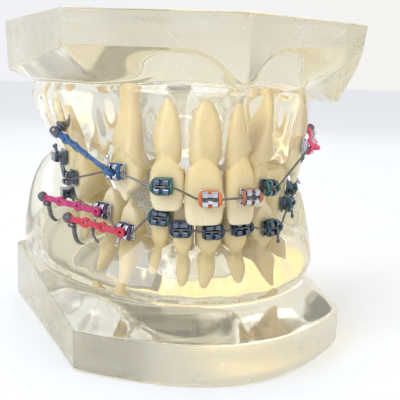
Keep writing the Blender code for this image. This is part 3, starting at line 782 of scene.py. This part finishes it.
NO_SWELL = (0,) * 5
UPPER_SECTIONS = gum_sections((1.2, 3, 3.4, 1.6), [
    (-26, 1, (0.3, 0.8, 0.9, 0.8, 0.5),
     (3.4, 4.5, 4.6, 3.8, 3, 2, 0.9, -0.6, -3.6, -6.4, -7.8, -9, -9.8),
     (53.9, 53.2, 51.8, 49.4, 46.4, 43.2, 40.4, 39.1, 39.2, 41, 44, 48, 52.5)),
    (-6, 1, (0.3, 0.8, 0.9, 0.8, 0.4),
     (4.2, 5.3, 5.3, 4.4, 3.4, 2.2, 1, -0.6, -5, -9.2, -10.8, -12, -12.8),
     (53.6, 52.9, 51.2, 48.8, 46, 43, 40.2, 38.8, 39, 40.8, 44, 48.5, 53)),
    (9, 0.8, (0.2, 0.5, 0.6, 0.5, 0.3),
     (5, 6, 6, 5.2, 4, 2.6, 1.2, -0.6, -6, -10.8, -12, -12.9, -13.5),
     (53.4, 52.7, 50.7, 48.2, 45.28, 42.6, 40.2, 39.08, 39.3, 40.92, 44.2, 48.5, 53)),
    (19, 0.35, NO_SWELL,
     (5, 6, 6, 5.3, 4.3, 2.8, 0.6, -2, -5.6, -8.8, -11.2, -12.6, -13.4),
     (53.4, 52.5, 50.2, 47.8, 45.26, 43.05, 41.3, 40.36, 40.4, 41.59, 44.6, 48.8, 53)),
    (28, 0, NO_SWELL,
     (3.6, 4, 3.6, 2.6, 1.4, 0, -1.6, -3.4, -5.2, -7, -8.8, -10.2, -11),
     (54.2, 53.4, 51.8, 50, 48.4, 47, 46, 45.6, 45.7, 46.2, 48.2, 51, 54)),
])
LOWER_SECTIONS = gum_sections((1, 3, 3.2, 1.4), [
    (-21, 1, (0.2, 0.6, 0.8, 0.7, 0.4),
     (3.2, 5, 5.1, 4.2, 3, 1.7, 0.6, -0.6, -3.4, -6, -7.4, -8.4, -9.4),
     (12.2, 13.1, 14.5, 16.2, 17.8, 20, 22, 22.8, 22.4, 21.1, 18.8, 16, 11.8)),
    (-8, 1, (0.2, 0.6, 0.7, 0.6, 0.4),
     (4.6, 6.6, 6.5, 5.2, 3.7, 2, 0.6, -0.6, -4.6, -8.2, -9.6, -10.4, -11),
     (13.2, 14.6, 16.4, 18.4, 20.2, 22.2, 23.9, 24.5, 24.1, 22.7, 19.6, 16, 11.8)),
    (3, 0.8, (0, 0.4, 0.5, 0.4, 0.2),
     (6.8, 8.2, 8, 6.9, 5.1, 2.8, 0.8, -0.8, -5.2, -9.8, -11, -11.7, -12.2),
     (14.4, 16, 18.4, 21.2, 23.6, 25.48, 26.64, 26.66, 26.28, 25.2, 21.6, 17, 11.8)),
    (13.5, 0.4, NO_SWELL,
     (8.4, 9.2, 9.1, 8.4, 7, 4.2, 1.2, -0.8, -5.6, -10, -11.4, -12.1, -12.6),
     (13.8, 15.6, 18.6, 22, 24.8, 26.54, 26.82, 26.58, 26.24, 25.6, 21.8, 17, 11.8)),
    (20.5, 0, NO_SWELL,
     (9.2, 9.8, 9.6, 8.8, 7.3, 4.6, 1.6, -1.2, -4.4, -7.4, -9.8, -11.4, -12.6),
     (13.8, 16.2, 21, 27, 32.8, 37, 39.2, 39.6, 39.3, 38, 31.5, 22, 11.8)),
    (28, 0, NO_SWELL,
     (9.2, 9.6, 9.3, 8.5, 6.7, 4, 1.4, -1, -3.6, -6, -8.4, -10.2, -11.4),
     (14.2, 16.2, 20, 25, 29.6, 33.6, 35.2, 35.6, 35.2, 34.2, 28.4, 20, 11.8)),
])
# Local bulges of gum: arch angle, spread, and outward swell and lift of each point of the section
UPPER_BULGE = (50.0, 28.0, (-3.4, -4.2, -4.2, -3.2, -2.0, -0.9, -0.2, 0, 0, 0, 0, 0, 0),
               (0, 0, 0, 0.4, 1.0, 1.8, 2.2, 2.0, 0.8, 0, 0, 0, 0))
LOWER_BULGE = (88.0, 26.0, (0, 0, 0, 0.2, 0.6, 1.0, 0.4, 0, 0, 0, 0, 0, 0),
               (0, 1.0, 3.0, 5.4, 7.2, 3.6, 0.8, 0, 0, 0, 0, 0, 0))


def resin_jaw(name, jaw, shape, rings, ground_rings, node):
    shell = bmesh.new()
    loops = skin(shell, rings)
    crease = shell.edges.layers.float.new("crease_edge")
    corner_at = [i for i, a in enumerate(shape.bearings) if any(abs(a - c) < 1e-9 for c in shape.corners)]
    for lower, upper in zip(loops[ground_rings[0]:], loops[ground_rings[0] + 1:ground_rings[1] + 1]):
        for i in corner_at:
            edge = shell.edges.get((lower[i], upper[i]))
            edge[crease] = 0.85
    for k in ground_rings:
        for i in range(len(shape.bearings)):
            edge = shell.edges.get((loops[k][i], loops[k][(i + 1) % len(shape.bearings)]))
            edge[crease] = 0.7
    level = {vert: k for k, loop in enumerate(loops) for vert in loop}
    for face in shell.faces:
        found = [level.get(vert, -1) for vert in face.verts]
        inside = min(found) >= ground_rings[0] and max(found) <= ground_rings[1]
        face.material_index = 1 if inside else 0
    made = piece(name, shell, [POLISHED, GROUND], jaw, None, [node])
    smoothing = made.modifiers.new("smooth", "SUBSURF")
    smoothing.levels = smoothing.render_levels = 2


def jaw_rings(shape, base_z, way, lean_in, edge_at, bulge, fold_share, ledge_share, ledge_lift, floor_z):
    """Rings of a jaw, from the middle of its flat side over the wall and gum to the tongue space."""
    wall = shape.wall_loop()
    lean = wall - lean_in
    edge = np.array([edge_at(p.x, p.y) for p in shape.ring(wall, wall * 0)])
    gum = [(np.minimum(radii, lean - EDGE_ROUND), heights) for radii, heights in shape.gum_loops(bulge)]
    fold_radii, fold_heights = gum[0]
    ledge = [lerp(e, f, ledge_share) + ledge_lift for e, f in zip(edge, fold_heights)]
    flat = wall * 0 + base_z
    inner = gum[-1][0]
    outside = [
        (wall * 0.5, flat), (wall - FLAT_ROUND, flat), (wall, flat + way * FLAT_ROUND),
        (lean, edge - way * EDGE_ROUND), (lean - EDGE_ROUND, edge),
        (lean * (1 - fold_share) + fold_radii * fold_share, ledge),
    ]
    inside = [(inner * share, wall * 0 + floor_z) for share in (0.85, 0.5)]
    return [shape.ring(radii, heights) for radii, heights in outside + gum + inside]


def lower_resin():
    shape = Jaw(lower_outline(), LOWER_ARCH, LOWER_SECTIONS, LOWER_TEETH, False, TONGUE_EDGE_Z)
    rings = jaw_rings(shape, 0.0, 1, 0.0, lower_wall_top, LOWER_BULGE, 0.45, 0.45, -0.2, TONGUE_FLOOR_Z)
    resin_jaw("lower_resin", "lower_jaw", shape, rings, (2, 3), "lower_base")


def upper_resin():
    shape = Jaw(upper_outline(), UPPER_ARCH, UPPER_SECTIONS, UPPER_TEETH, True, PALATE_EDGE_Z)
    rings = jaw_rings(shape, ROOF_Z, -1, 0.7, upper_wall_bottom, UPPER_BULGE, 0.5, 0.62, 0.3, PALATE_ROOF_Z)
    resin_jaw("upper_resin", "upper_jaw", shape, rings, (2, 3), "upper_base")


# Braces

# One wing of a bracket in side view, as depth and height over the slot's middle
WING = [(0.9, 0.34), (2.15, 0.34), (2.3, 0.6), (2.28, 1.12), (1.95, 1.55), (1.5, 1.5), (1.3, 1.22),
        (1.22, 0.98), (0.9, 0.95)]
HOOKED = ("13", "23", "33", "34", "43", "44", "15", "16")
# Brackets whose steel is painted darker, as a painted reflection of dark surroundings. They are the same
# steel as the rest.
PAINTED_REFLECTION_BRACKETS = ("16", "15", "12", "22", "42", "41", "31", "32", "33", "34", "35", "25")
LIGATURES = {"12": "green", "11": "orange", "21": "brown", "22": "green", "13": "blue", "23": "pink",
             "44": "purple", "43": "purple", "42": "teal", "41": "navy", "31": "navy", "32": "navy",
             "33": "teal", "34": "teal", "35": "teal", "25": "teal"}


def across_x(depth, height, distance):
    return Vector((distance, depth, height))


def distal_side(tooth, root_up):
    """+1 or -1: the side of a tooth's own frame that faces the back of the mouth."""
    return (1 if tooth[2] < 0 else -1) * (1 if root_up else -1)


def twin_bracket(jaw, tooth, matrix, root_up):
    number = tooth[0]
    shell = bmesh.new()
    block(shell, (-1.75, 0.0, -1.62), (1.75, 0.42, 1.62), 0.14)
    block(shell, (-1.5, 0.3, -1.15), (1.5, 1.15, 1.15), 0.12)
    for side in (-1, 1):
        near, far = sorted((side * 0.38, side * 1.42))
        for flip in (-1, 1):
            extrusion(shell, [(d, h * flip) for d, h in WING], near, far, across_x)
    if number in HOOKED:
        x = distal_side(tooth, root_up) * 1.0
        sweep(shell, spline([(x, 1.7, 1.2), (x, 1.95, 1.9), (x, 2.05, 2.7)], 4), disc(0.24))
        ball(shell, (x, 2.08, 2.9), 0.42)
    # On these brackets the steel is painted darker to stand for dark reflections.
    finish = PAINTED_REFLECTION_STEEL if number in PAINTED_REFLECTION_BRACKETS else STEEL
    place = matrix @ ON_PAD
    made = piece("twin_bracket_" + number, shell, [finish], jaw, place,
                 ["bracket_" + number], smooth_shade=False)
    rounded(made, BRACE_EDGE)


def buccal_tube(jaw, tooth, matrix, root_up):
    number = tooth[0]
    shell = bmesh.new()
    block(shell, (-2.1, 0.0, -1.7), (2.1, 0.42, 1.7), 0.16)
    block(shell, (-1.9, 0.3, -1.1), (1.9, 1.15, 1.1), 0.12)
    for low, high in (((0.9, -0.95), (2.6, -0.34)), ((0.9, 0.34), (2.6, 0.95)),
                      ((0.9, -0.5), (1.3, 0.5)), ((2.14, -0.5), (2.6, 0.5))):
        block(shell, (-1.9, low[0], low[1]), (1.9, high[0], high[1]), 0.08)
    x = distal_side(tooth, root_up)
    for at, reach in ((-1.2 * x, 2.6), (0.4 * x, 2.2)):
        sweep(shell, spline([(at, 1.6, 0.8), (at, 2.0, 1.7), (at + 0.2 * x, 2.2, reach)], 4), disc(0.22))
        ball(shell, (at + 0.2 * x, 2.2, reach + 0.1), 0.38)
    place = matrix @ ON_PAD
    # The tube's steel is painted darker to stand for dark reflections.
    made = piece("buccal_tube_" + number, shell, [PAINTED_REFLECTION_STEEL], jaw, place,
                 ["tube_" + number], smooth_shade=False)
    rounded(made, BRACE_EDGE)


def ligature(jaw, number, color, matrix):
    """An elastic ring stretched behind the four wings and over the wire on each side."""
    quarter = [(0.0, 1.25, 1.32), (0.9, 1.22, 1.36), (1.5, 1.4, 1.15), (1.82, 1.85, 0.62), (1.92, 2.2, 0.0)]
    right = quarter + [(x, y, -z) for x, y, z in reversed(quarter[:-1])]
    left = [(-x, y, z) for x, y, z in reversed(right[1:-1])]
    loop = right + left
    round_trip = spline(loop + loop[:1], 4)[:-1]
    shell = bmesh.new()
    sweep(shell, round_trip, disc(0.36), closed=True, side=Vector((0, 1, 0)))
    place = matrix @ ON_PAD
    piece("ligature_" + number, shell, [ELASTOMER[color]], jaw, place)


def archwire(jaw, matrices, reaches, node):
    """Wire that runs straight through each slot and bends smoothly between the teeth."""
    points = []
    for matrix, reach in zip(matrices, reaches):
        ends = [matrix @ (Vector((side * reach, SLOT_OFFSET, 0)) * MM) / MM for side in (1, -1)]
        if points and (ends[0] - points[-1]).length > (ends[1] - points[-1]).length:
            ends.reverse()
        points += ends
    path = [points[0]]
    for a, b in zip(points, points[1:]):
        path += [a.lerp(b, t) for t in (0.12, 0.5, 0.88)]
    path.append(points[-1])
    shell = bmesh.new()
    sweep(shell, spline(path, 3), disc(0.22, 8))
    piece("bent_" + node, shell, [WIRE], jaw, None, [node])


def jaw_row(jaw, arch, teeth, root_up, node):
    """Teeth, brackets, ligatures and the archwire of one jaw. Returns the frames by tooth number."""
    frames = {}
    reaches = []
    for tooth, width in zip(teeth, tooth_widths(arch, teeth)):
        number, kind = tooth[0], tooth[1]
        frames[number] = matrix = tooth_frame(arch, tooth, root_up)
        ivory_tooth(jaw, arch, tooth, width, matrix, root_up)
        (buccal_tube if kind in MOLARS else twin_bracket)(jaw, tooth, matrix, root_up)
        if number in LIGATURES:
            ligature(jaw, number, LIGATURES[number], matrix)
        reaches.append(TUBE_WIRE_REACH if kind in MOLARS else WIRE_REACH)
    archwire(jaw, frames.values(), reaches, node)
    return frames


# Mini-implants and elastic chains

# Name, jaw, centre of the head, tip of the screw, sideways bend and stoutness of the shaft
MINI_IMPLANTS = [
    ("upper_right", "upper_jaw", (-28.6, -2.2, 43.6), (-22.9, -0.4, 48.3), (0.3, 0.0, -0.8), 1.0),
    ("upper_left", "upper_jaw", (26.6, -6.9, 44.8), (22.2, -1.2, 48.8), (0.0, 0.0, -0.3), 0.8),
    ("lower_right_back", "lower_jaw", (-30.6, 3.3, 29.2), (-25.8, 4.8, 23.0), (-0.9, 0.0, -0.9), 0.66),
    ("lower_right_front", "lower_jaw", (-26.8, -6.4, 26.4), (-22.0, -4.6, 19.6), (-0.9, 0.0, -0.9), 0.66),
]
# Distance along the implant and radius
HEAD_PROFILE = [(-1.0, 0.55), (-0.92, 0.95), (-0.7, 1.18), (-0.3, 1.3), (0.28, 1.3), (0.5, 0.95),
                (0.62, 0.78), (1.05, 0.78), (1.2, 1.05), (1.35, 1.3), (1.75, 1.3), (2.0, 0.95), (2.2, 0.8)]


def mini_implant(name, jaw, head, tip, bend, stout):
    start, end = Vector(head), Vector(tip)
    length = (end - start).length
    profile = list(HEAD_PROFILE)
    turns = int((length - 2.6) / 0.55)
    for k in range(turns * 2 + 1):
        t = k / (turns * 2)
        core = lerp(0.72, 0.26, t ** 1.4) * stout
        profile.append((2.4 + (length - 2.9) * t, core + (0.16 if k % 2 else 0.0) * (1 - 0.6 * t)))
    profile.append((length - 0.1, 0.08))
    rings = []
    direction = (end - start).normalized()
    across = direction.cross(Vector((0, 0, 1))).normalized()
    up = across.cross(direction)
    for along, radius in profile:
        radius *= lerp(1.0, stout, 0.6) if along < 2.3 else 1.0
        t = max(0.0, (along - 2.2) / (length - 2.2))
        middle = start + direction * along + Vector(bend) * math.sin(math.pi * t)
        rings.append(turned(middle, radius, 18, across, up))
    shell = bmesh.new()
    skin(shell, rings)
    made = piece("implant_" + name, shell, [TITANIUM], jaw, None,
                 ["mini_implant_" + name])
    rounded(made, 0.06)


def link_outline(links, pitch, neck, wide):
    """Half the edge of a chain of rings, as distance along and half width."""
    steps = links * 14
    total = pitch * (links - 1) + 2 * wide
    out = []
    for k in range(steps + 1):
        along = -wide + total * k / steps
        near = min(abs(along - pitch * i) for i in range(links))
        ring = math.sqrt(max(0.0, wide ** 2 - near ** 2))
        inside = 0 <= along <= pitch * (links - 1)
        out.append((along, max(ring, neck) if inside else ring))
    return out


def power_chain(name, jaw, start, end, color, node, links, hole, twist, face):
    """A flat chain of moulded rings from an implant's neck to a bracket."""
    a, b = Vector(start), Vector(end)
    length = (b - a).length
    pitch = length / (links - 1)
    half = link_outline(links, pitch, 0.46, 0.92)
    curve = bpy.data.curves.new(name, "CURVE")
    curve.dimensions = "2D"
    curve.fill_mode = "BOTH"
    curve.extrude = 0.26
    curve.bevel_depth = 0.14
    curve.bevel_resolution = 2
    loops = [[(x, y) for x, y in half] + [(x, -y) for x, y in reversed(half[1:-1])]]
    if hole:
        loops += [[(pitch * i + hole * 1.15 * math.cos(t), hole * math.sin(t))
                   for t in [-2 * math.pi * k / 16 for k in range(16)]] for i in range(links)]
    for loop in loops:
        line = curve.splines.new("POLY")
        line.points.add(len(loop) - 1)
        for point, (x, y) in zip(line.points, loop):
            point.co = (x, y, 0, 1)
        line.use_cyclic_u = True
    drawn = bpy.data.objects.new(name, curve)
    scene.collection.objects.link(drawn)
    bpy.context.view_layer.update()
    flat = bpy.data.meshes.new_from_object(drawn.evaluated_get(bpy.context.evaluated_depsgraph_get()))
    bpy.data.objects.remove(drawn)
    shell = bmesh.new()
    shell.from_mesh(flat)
    bmesh.ops.remove_doubles(shell, verts=shell.verts, dist=1e-5)
    along = (b - a).normalized()
    outward = Vector(face) - along * along.dot(Vector(face))
    outward.normalize()
    across = outward.cross(along)
    for vert in shell.verts:
        turn = twist * vert.co.x / length
        wide = vert.co.y * math.cos(turn) - vert.co.z * math.sin(turn)
        deep = vert.co.y * math.sin(turn) + vert.co.z * math.cos(turn)
        vert.co = a + along * vert.co.x + across * wide + outward * deep
    piece(name, shell, [ELASTOMER[color]], jaw, None, [node])


def implants_and_chains(upper, lower):
    for implant in MINI_IMPLANTS:
        mini_implant(*implant)
    heads = {implant[0]: Vector(implant[2]) for implant in MINI_IMPLANTS}
    jaws = {"upper_jaw": upper, "lower_jaw": lower}
    for color, jaw, implant, number, links, hole, twist in (
            ("blue", "upper_jaw", "upper_right", "13", 6, 0.30, 1.7),
            ("pink", "upper_jaw", "upper_left", "23", 4, 0.30, 1.2),
            ("magenta", "lower_jaw", "lower_right_back", "44", 4, 0.42, 0.3),
            ("red", "lower_jaw", "lower_right_front", "43", 4, 0.42, 0.2)):
        target = jaws[jaw][number] @ (Vector((0, SLOT_OFFSET + 0.75, 0)) * MM) / MM
        start = heads[implant]
        middle = (start + target) / 2
        face = (middle.x, middle.y - 2.0, 0.25 * abs(middle.x))
        power_chain("power_chain_" + color, jaw, start, target, color, "elastic_chain_" + color,
                    links, hole, twist, face)


# Tie wires

def twisted_tie(name, jaw, start, end, turns, spread=0.26, radius=0.13):
    """Two strands of tie wire twisted together."""
    a, b = Vector(start), Vector(end)
    ahead = (b - a).normalized()
    across = ahead.cross(Vector((0, 0, 1))).normalized()
    up = across.cross(ahead)
    shell = bmesh.new()
    for offset in (0.0, math.pi):
        points = []
        for k in range(turns * 8 + 1):
            t = k / (turns * 8)
            turn = 2 * math.pi * turns * t + offset
            points.append(a.lerp(b, t) + (across * math.cos(turn) + up * math.sin(turn)) * spread)
        sweep(shell, points, disc(radius, 6))
    piece(name, shell, [TIE], jaw)


# Back hinge

def circle(radius, count, start, swept):
    """Points on an arc round the hinge pin."""
    steps = count if swept == 2 * math.pi else count - 1
    angles = [start + swept * i / steps for i in range(count)]
    return [(PIN_Y + radius * math.cos(a), PIN_Z + radius * math.sin(a)) for a in angles]


def hinge_leaf(jaw, node, far_z, spans):
    """Strap screwed to the back of a jaw, with knuckles rolled round the pin."""
    toward = 1 if far_z > PIN_Z else -1
    inner_y, outer_y = BACK_Y + 0.3, BACK_Y + 1.5
    shell = bmesh.new()
    rise = math.sqrt(KNUCKLE_RADIUS ** 2 - (PIN_Y - outer_y) ** 2)
    near_z = PIN_Z + toward * 1.75
    block(shell, (-LEAF_HALF_WIDTH, inner_y, min(near_z, far_z)),
          (LEAF_HALF_WIDTH, outer_y, max(near_z, far_z)), 0.25)
    start = math.atan2(toward * rise, outer_y - PIN_Y)
    for low, high in spans:
        roll = circle(1.58, 29, start, -2 * start)
        stem = [(outer_y - 0.02, PIN_Z + toward * 2.4), (inner_y + 0.02, PIN_Z + toward * 2.4),
                (inner_y + 0.02, PIN_Z - toward * (rise - 0.1))]
        outer = [(outer_y - 0.02, PIN_Z + toward * rise)] + roll
        outline = stem[:1] + outer + stem[2:] + stem[1:2]
        hole = circle(KNUCKLE_BORE, len(outline), start + 0.2, -2 * math.pi * toward)
        near, far, hole_near, hole_far = ([shell.verts.new((x, y, z)) for y, z in loop] for x, loop in (
            (low, outline), (high, outline), (low, hole), (high, hole)))
        for first, second in ((near, far), (hole_near, hole_far), (near, hole_near), (far, hole_far)):
            for i in range(len(outline)):
                j = (i + 1) % len(outline)
                shell.faces.new((first[i], first[j], second[j], second[i]))
    piece("strap_" + node, shell, [HINGE_STEEL], jaw, None, [node], smooth_shade=False)


def screw_head(jaw, name, x, z):
    shell = bmesh.new()
    profile = [(BACK_Y + 1.45, 1.3), (BACK_Y + 1.75, 1.3), (BACK_Y + 2.15, 1.05), (BACK_Y + 2.35, 0.6),
               (BACK_Y + 2.35, 0.32), (BACK_Y + 1.95, 0.3)]
    skin(shell, [turned(Vector((x, y, z)), radius, 24) for y, radius in profile])
    piece(name, shell, [HINGE_STEEL], jaw)


def hinge():
    side = LEAF_HALF_WIDTH
    hinge_leaf("lower_jaw", "hinge_leaf_lower", 3.0, ((-side, -3.0), (3.0, side)))
    hinge_leaf("upper_jaw", "hinge_leaf_upper", 64.0, ((-2.7, 2.7),))
    shell = bmesh.new()
    half = [(8.6, PIN_RADIUS), (8.7, 1.2), (9.2, 1.1), (9.4, 0.7)]
    profile = [(-x, radius) for x, radius in reversed(half)] + half
    skin(shell, [turned(Vector((x, PIN_Y, PIN_Z)), radius, 24, Vector((0, 1, 0))) for x, radius in profile])
    piece("hinge_pin_turned", shell, [HINGE_STEEL], "lower_jaw", None, ["hinge_pin"])
    for jaw, heights in SCREW_HEIGHTS:
        for k, (x, z) in enumerate([(x, z) for x in (-SCREW_X, SCREW_X) for z in heights]):
            screw_head(jaw, "screw_" + jaw + "_" + str(k), x, z)


# The table and the light

def table_finish():
    made = Finish("pale_table", Metallic=0.0)
    grain = made.noise(40.0, 4.0, 0.6)
    made.surface(Base_Color=made.mix(grain, (0.86, 0.87, 0.88), (0.90, 0.90, 0.91)))
    made.surface(Roughness=made.between(grain, 0.2, 0.8, 0.55, 0.7))
    return made.material


def studio():
    shell = bmesh.new()
    bmesh.ops.create_grid(shell, x_segments=2, y_segments=2, size=3.0)
    mesh = bpy.data.meshes.new("table")
    shell.to_mesh(mesh)
    shell.free()
    mesh.materials.append(table_finish())
    table = bpy.data.objects.new("table", mesh)
    scene.collection.objects.link(table)
    table.location = (0, 0, -0.00005)
    world = bpy.data.worlds.new("studio")
    world.use_nodes = True
    tree = world.node_tree
    sky = tree.nodes["Background"]
    sky.inputs["Strength"].default_value = 0.95
    place, part, wash = (tree.nodes.new(kind) for kind in (
        "ShaderNodeTexCoord", "ShaderNodeSeparateXYZ", "ShaderNodeValToRGB"))
    for stop, color in zip(wash.color_ramp.elements, (SKY_COOL, SKY_WARM)):
        stop.color = (*color, 1.0)
    shift = tree.nodes.new("ShaderNodeMath")
    shift.operation = "MULTIPLY_ADD"
    shift.inputs[1].default_value = 0.5
    shift.inputs[2].default_value = 0.5
    tree.links.new(place.outputs["Generated"], part.inputs[0])
    tree.links.new(part.outputs["X"], shift.inputs[0])
    tree.links.new(shift.outputs[0], wash.inputs[0])
    tree.links.new(wash.outputs[0], sky.inputs["Color"])
    scene.world = world
    scene.view_settings.view_transform = "Standard"
    scene.cycles.max_bounces = 20
    scene.cycles.transmission_bounces = 20
    scene.cycles.transparent_max_bounces = 16
    scene.cycles.sample_clamp_indirect = 3.0
    aim = (0.0, 0.0, 0.035)
    lamp("window", (-0.42, -0.22, 0.38), aim, (0.34, 0.34), 2.0, (0.84, 0.92, 1.0))
    lamp("front", (0.22, -0.50, 0.30), aim, (0.22, 0.30), 0.3, (1.0, 0.98, 0.95))
    lamp("back", (0.20, 0.45, 0.30), aim, (0.40, 0.20), 0.25, (1.0, 0.96, 0.90))


def small_fittings():
    """A twisted tie by the upper left premolars, and a bent pin in the lower gap."""
    twisted_tie("tie_upper_left", "upper_jaw", (18.4, -14.6, 36.9), (21.6, -13.4, 33.6), 3)
    shell = bmesh.new()
    sweep(shell, spline([(-22.6, -10.6, 24.6), (-22.4, -11.0, 23.4), (-21.6, -11.6, 22.2)], 5), disc(0.26, 8))
    ball(shell, (-22.6, -10.6, 24.7), 0.45)
    piece("lower_gap_pin", shell, [TITANIUM], "lower_jaw")


def build():
    lower_resin()
    upper_resin()
    upper = jaw_row("upper_jaw", UPPER_ARCH, UPPER_TEETH, True, "upper_archwire")
    lower = jaw_row("lower_jaw", LOWER_ARCH, LOWER_TEETH, False, "lower_archwire")
    implants_and_chains(upper, lower)
    small_fittings()
    hinge()
    studio()


build()
